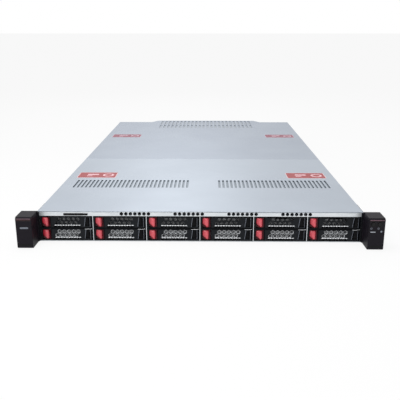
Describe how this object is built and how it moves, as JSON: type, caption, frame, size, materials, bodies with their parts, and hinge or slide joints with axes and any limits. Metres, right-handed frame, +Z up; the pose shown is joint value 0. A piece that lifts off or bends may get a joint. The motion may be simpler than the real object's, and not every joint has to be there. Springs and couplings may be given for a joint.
{
  "type": "rack server",
  "caption": "One-unit rack server: flat steel chassis with two lids, honeycomb-faced hot-swap drive carriers, red releases, rack ears and rear power supplies.",
  "frame": {"origin": "centre of the overall box in plan, on the plane of the chassis floor's underside", "axes": "+X to the right seen from the drive side, +Y from the drive side to the rear, +Z up"},
  "size_m": [0.4826, 0.821, 0.0432],
  "materials": {
    "pan_steel": "galvanised sheet steel",
    "cage_steel": "bright zinc-plated sheet steel",
    "board_laminate": "green solder mask on glass laminate",
    "fan_plastic": "moulded black plastic",
    "rotor_plastic": "moulded black plastic",
    "heatsink_aluminium": "milled and folded fins",
    "module_laminate": "green laminate with black chips",
    "riser_steel": "zinc-plated sheet steel",
    "ear_plastic": "fine-textured dark moulding",
    "stud_steel": "turned steel",
    "front_lid_steel": "pale grey coated steel",
    "rear_lid_steel": "grey coated steel",
    "tab_plastic": "black moulding",
    "supply_case": "plated case",
    "key_plastic": "smooth dark moulding",
    "carrier_plastic": "black moulding",
    "lever_plastic": "black satin moulding",
    "release_plastic": "red moulding"
  },
  "bodies": {
    "chassis": {"chassis_pan": "pan_steel", "drive_cage": "cage_steel", "backplane": "board_laminate", "fan_frames": "fan_plastic", "motherboard": "board_laminate", "cpu_heatsinks": "heatsink_aluminium", "memory_modules": "module_laminate", "riser_cage": "riser_steel", "left_ear": "ear_plastic", "right_ear": "ear_plastic", "fasteners": "stud_steel"},
    "front_lid": {"front_cover": "front_lid_steel"},
    "rear_lid": {"rear_cover": "rear_lid_steel"},
    "tab": {"label_tab": "tab_plastic"},
    "supply_1": {"power_supply_1": "supply_case"},
    "supply_2": {"power_supply_2": "supply_case"},
    "power_key": {"power_button": "key_plastic"},
    "uid_key": {"uid_button": "key_plastic"},
    "carrier_01": {"drive_carrier_01": "carrier_plastic"},
    "lever_01": {"carrier_lever_01": "lever_plastic"},
    "release_01": {"release_button_01": "release_plastic"},
    "carrier_02": {"drive_carrier_02": "carrier_plastic"},
    "lever_02": {"carrier_lever_02": "lever_plastic"},
    "release_02": {"release_button_02": "release_plastic"},
    "carrier_03": {"drive_carrier_03": "carrier_plastic"},
    "lever_03": {"carrier_lever_03": "lever_plastic"},
    "release_03": {"release_button_03": "release_plastic"},
    "carrier_04": {"drive_carrier_04": "carrier_plastic"},
    "lever_04": {"carrier_lever_04": "lever_plastic"},
    "release_04": {"release_button_04": "release_plastic"},
    "carrier_05": {"drive_carrier_05": "carrier_plastic"},
    "lever_05": {"carrier_lever_05": "lever_plastic"},
    "release_05": {"release_button_05": "release_plastic"},
    "carrier_06": {"drive_carrier_06": "carrier_plastic"},
    "lever_06": {"carrier_lever_06": "lever_plastic"},
    "release_06": {"release_button_06": "release_plastic"},
    "carrier_07": {"drive_carrier_07": "carrier_plastic"},
    "lever_07": {"carrier_lever_07": "lever_plastic"},
    "release_07": {"release_button_07": "release_plastic"},
    "carrier_08": {"drive_carrier_08": "carrier_plastic"},
    "lever_08": {"carrier_lever_08": "lever_plastic"},
    "release_08": {"release_button_08": "release_plastic"},
    "carrier_09": {"drive_carrier_09": "carrier_plastic"},
    "lever_09": {"carrier_lever_09": "lever_plastic"},
    "release_09": {"release_button_09": "release_plastic"},
    "carrier_10": {"drive_carrier_10": "carrier_plastic"},
    "lever_10": {"carrier_lever_10": "lever_plastic"},
    "release_10": {"release_button_10": "release_plastic"},
    "carrier_11": {"drive_carrier_11": "carrier_plastic"},
    "lever_11": {"carrier_lever_11": "lever_plastic"},
    "release_11": {"release_button_11": "release_plastic"},
    "carrier_12": {"drive_carrier_12": "carrier_plastic"},
    "lever_12": {"carrier_lever_12": "lever_plastic"},
    "release_12": {"release_button_12": "release_plastic"},
    "rotor_1": {"fan_rotor_1": "rotor_plastic"},
    "rotor_2": {"fan_rotor_2": "rotor_plastic"},
    "rotor_3": {"fan_rotor_3": "rotor_plastic"},
    "rotor_4": {"fan_rotor_4": "rotor_plastic"},
    "rotor_5": {"fan_rotor_5": "rotor_plastic"},
    "rotor_6": {"fan_rotor_6": "rotor_plastic"}
  },
  "joints": [
    {"name": "front_lid_lift", "type": "slide", "parent": "chassis", "child": "front_lid", "axis": [0, 0, 1], "range_m": [0, 0.1]},
    {"name": "rear_lid_lift", "type": "slide", "parent": "chassis", "child": "rear_lid", "axis": [0, 0, 1], "range_m": [0, 0.1]},
    {"name": "tab_slide", "type": "slide", "parent": "chassis", "child": "tab", "axis": [0, -1, 0], "range_m": [0, 0.045]},
    {"name": "supply_slide_1", "type": "slide", "parent": "chassis", "child": "supply_1", "axis": [0, 1, 0], "range_m": [0, 0.17]},
    {"name": "supply_slide_2", "type": "slide", "parent": "chassis", "child": "supply_2", "axis": [0, 1, 0], "range_m": [0, 0.17]},
    {"name": "power_key_press", "type": "slide", "parent": "chassis", "child": "power_key", "axis": [0, 1, 0], "range_m": [0, 0.001], "stiffness_N_per_m": 500, "springref_m": -0.0005},
    {"name": "uid_key_press", "type": "slide", "parent": "chassis", "child": "uid_key", "axis": [0, 1, 0], "range_m": [0, 0.001], "stiffness_N_per_m": 500, "springref_m": -0.0005},
    {"name": "rotor_spin_1", "type": "hinge", "parent": "chassis", "child": "rotor_1", "pos_m": [-0.18, -0.18152, 0.0212], "axis": [0, 1, 0], "continuous": true},
    {"name": "carrier_slide_01", "type": "slide", "parent": "chassis", "child": "carrier_01", "axis": [0, -1, 0], "range_m": [0, 0.1]},
    {"name": "lever_swing_01", "type": "hinge", "parent": "carrier_01", "child": "lever_01", "pos_m": [-0.14965, -0.37907, 0.0097], "axis": [0, 0, 1], "range_deg": [0, 55]},
    {"name": "release_press_01", "type": "slide", "parent": "carrier_01", "child": "release_01", "axis": [0, 1, 0], "range_m": [0, 0.0015], "stiffness_N_per_m": 400, "springref_m": -0.0005},
    {"name": "carrier_slide_02", "type": "slide", "parent": "chassis", "child": "carrier_02", "axis": [0, -1, 0], "range_m": [0, 0.1]},
    {"name": "lever_swing_02", "type": "hinge", "parent": "carrier_02", "child": "lever_02", "pos_m": [-0.14965, -0.37907, 0.0273], "axis": [0, 0, 1], "range_deg": [0, 55]},
    {"name": "release_press_02", "type": "slide", "parent": "carrier_02", "child": "release_02", "axis": [0, 1, 0], "range_m": [0, 0.0015], "stiffness_N_per_m": 400, "springref_m": -0.0005},
    {"name": "carrier_slide_03", "type": "slide", "parent": "chassis", "child": "carrier_03", "axis": [0, -1, 0], "range_m": [0, 0.1]},
    {"name": "lever_swing_03", "type": "hinge", "parent": "carrier_03", "child": "lever_03", "pos_m": [-0.077, -0.37907, 0.0097], "axis": [0, 0, 1], "range_deg": [0, 55]},
    {"name": "release_press_03", "type": "slide", "parent": "carrier_03", "child": "release_03", "axis": [0, 1, 0], "range_m": [0, 0.0015], "stiffness_N_per_m": 400, "springref_m": -0.0005},
    {"name": "carrier_slide_04", "type": "slide", "parent": "chassis", "child": "carrier_04", "axis": [0, -1, 0], "range_m": [0, 0.1]},
    {"name": "lever_swing_04", "type": "hinge", "parent": "carrier_04", "child": "lever_04", "pos_m": [-0.077, -0.37907, 0.0273], "axis": [0, 0, 1], "range_deg": [0, 55]},
    {"name": "release_press_04", "type": "slide", "parent": "carrier_04", "child": "release_04", "axis": [0, 1, 0], "range_m": [0, 0.0015], "stiffness_N_per_m": 400, "springref_m": -0.0005},
    {"name": "carrier_slide_05", "type": "slide", "parent": "chassis", "child": "carrier_05", "axis": [0, -1, 0], "range_m": [0, 0.1]},
    {"name": "lever_swing_05", "type": "hinge", "parent": "carrier_05", "child": "lever_05", "pos_m": [-0.00435, -0.37907, 0.0097], "axis": [0, 0, 1], "range_deg": [0, 55]},
    {"name": "release_press_05", "type": "slide", "parent": "carrier_05", "child": "release_05", "axis": [0, 1, 0], "range_m": [0, 0.0015], "stiffness_N_per_m": 400, "springref_m": -0.0005},
    {"name": "carrier_slide_06", "type": "slide", "parent": "chassis", "child": "carrier_06", "axis": [0, -1, 0], "range_m": [0, 0.1]},
    {"name": "lever_swing_06", "type": "hinge", "parent": "carrier_06", "child": "lever_06", "pos_m": [-0.00435, -0.37907, 0.0273], "axis": [0, 0, 1], "range_deg": [0, 55]},
    {"name": "release_press_06", "type": "slide", "parent": "carrier_06", "child": "release_06", "axis": [0, 1, 0], "range_m": [0, 0.0015], "stiffness_N_per_m": 400, "springref_m": -0.0005},
    {"name": "carrier_slide_07", "type": "slide", "parent": "chassis", "child": "carrier_07", "axis": [0, -1, 0], "range_m": [0, 0.1]},
    {"name": "lever_swing_07", "type": "hinge", "parent": "carrier_07", "child": "lever_07", "pos_m": [0.0683, -0.37907, 0.0097], "axis": [0, 0, 1], "range_deg": [0, 55]},
    {"name": "release_press_07", "type": "slide", "parent": "carrier_07", "child": "release_07", "axis": [0, 1, 0], "range_m": [0, 0.0015], "stiffness_N_per_m": 400, "springref_m": -0.0005},
    {"name": "carrier_slide_08", "type": "slide", "parent": "chassis", "child": "carrier_08", "axis": [0, -1, 0], "range_m": [0, 0.1]},
    {"name": "lever_swing_08", "type": "hinge", "parent": "carrier_08", "child": "lever_08", "pos_m": [0.0683, -0.37907, 0.0273], "axis": [0, 0, 1], "range_deg": [0, 55]},
    {"name": "release_press_08", "type": "slide", "parent": "carrier_08", "child": "release_08", "axis": [0, 1, 0], "range_m": [0, 0.0015], "stiffness_N_per_m": 400, "springref_m": -0.0005},
    {"name": "carrier_slide_09", "type": "slide", "parent": "chassis", "child": "carrier_09", "axis": [0, -1, 0], "range_m": [0, 0.1]},
    {"name": "lever_swing_09", "type": "hinge", "parent": "carrier_09", "child": "lever_09", "pos_m": [0.14095, -0.37907, 0.0097], "axis": [0, 0, 1], "range_deg": [0, 55]},
    {"name": "release_press_09", "type": "slide", "parent": "carrier_09", "child": "release_09", "axis": [0, 1, 0], "range_m": [0, 0.0015], "stiffness_N_per_m": 400, "springref_m": -0.0005},
    {"name": "carrier_slide_10", "type": "slide", "parent": "chassis", "child": "carrier_10", "axis": [0, -1, 0], "range_m": [0, 0.1]},
    {"name": "lever_swing_10", "type": "hinge", "parent": "carrier_10", "child": "lever_10", "pos_m": [0.14095, -0.37907, 0.0273], "axis": [0, 0, 1], "range_deg": [0, 55]},
    {"name": "release_press_10", "type": "slide", "parent": "carrier_10", "child": "release_10", "axis": [0, 1, 0], "range_m": [0, 0.0015], "stiffness_N_per_m": 400, "springref_m": -0.0005},
    {"name": "carrier_slide_11", "type": "slide", "parent": "chassis", "child": "carrier_11", "axis": [0, -1, 0], "range_m": [0, 0.1]},
    {"name": "lever_swing_11", "type": "hinge", "parent": "carrier_11", "child": "lever_11", "pos_m": [0.2136, -0.37907, 0.0097], "axis": [0, 0, 1], "range_deg": [0, 55]},
    {"name": "release_press_11", "type": "slide", "parent": "carrier_11", "child": "release_11", "axis": [0, 1, 0], "range_m": [0, 0.0015], "stiffness_N_per_m": 400, "springref_m": -0.0005},
    {"name": "carrier_slide_12", "type": "slide", "parent": "chassis", "child": "carrier_12", "axis": [0, -1, 0], "range_m": [0, 0.1]},
    {"name": "lever_swing_12", "type": "hinge", "parent": "carrier_12", "child": "lever_12", "pos_m": [0.2136, -0.37907, 0.0273], "axis": [0, 0, 1], "range_deg": [0, 55]},
    {"name": "release_press_12", "type": "slide", "parent": "carrier_12", "child": "release_12", "axis": [0, 1, 0], "range_m": [0, 0.0015], "stiffness_N_per_m": 400, "springref_m": -0.0005},
    {"name": "rotor_spin_2", "type": "hinge", "parent": "chassis", "child": "rotor_2", "pos_m": [-0.108, -0.18152, 0.0212], "axis": [0, 1, 0], "continuous": true},
    {"name": "rotor_spin_3", "type": "hinge", "parent": "chassis", "child": "rotor_3", "pos_m": [-0.036, -0.18152, 0.0212], "axis": [0, 1, 0], "continuous": true},
    {"name": "rotor_spin_4", "type": "hinge", "parent": "chassis", "child": "rotor_4", "pos_m": [0.036, -0.18152, 0.0212], "axis": [0, 1, 0], "continuous": true},
    {"name": "rotor_spin_5", "type": "hinge", "parent": "chassis", "child": "rotor_5", "pos_m": [0.108, -0.18152, 0.0212], "axis": [0, 1, 0], "continuous": true},
    {"name": "rotor_spin_6", "type": "hinge", "parent": "chassis", "child": "rotor_6", "pos_m": [0.18, -0.18152, 0.0212], "axis": [0, 1, 0], "continuous": true}
  ]
}
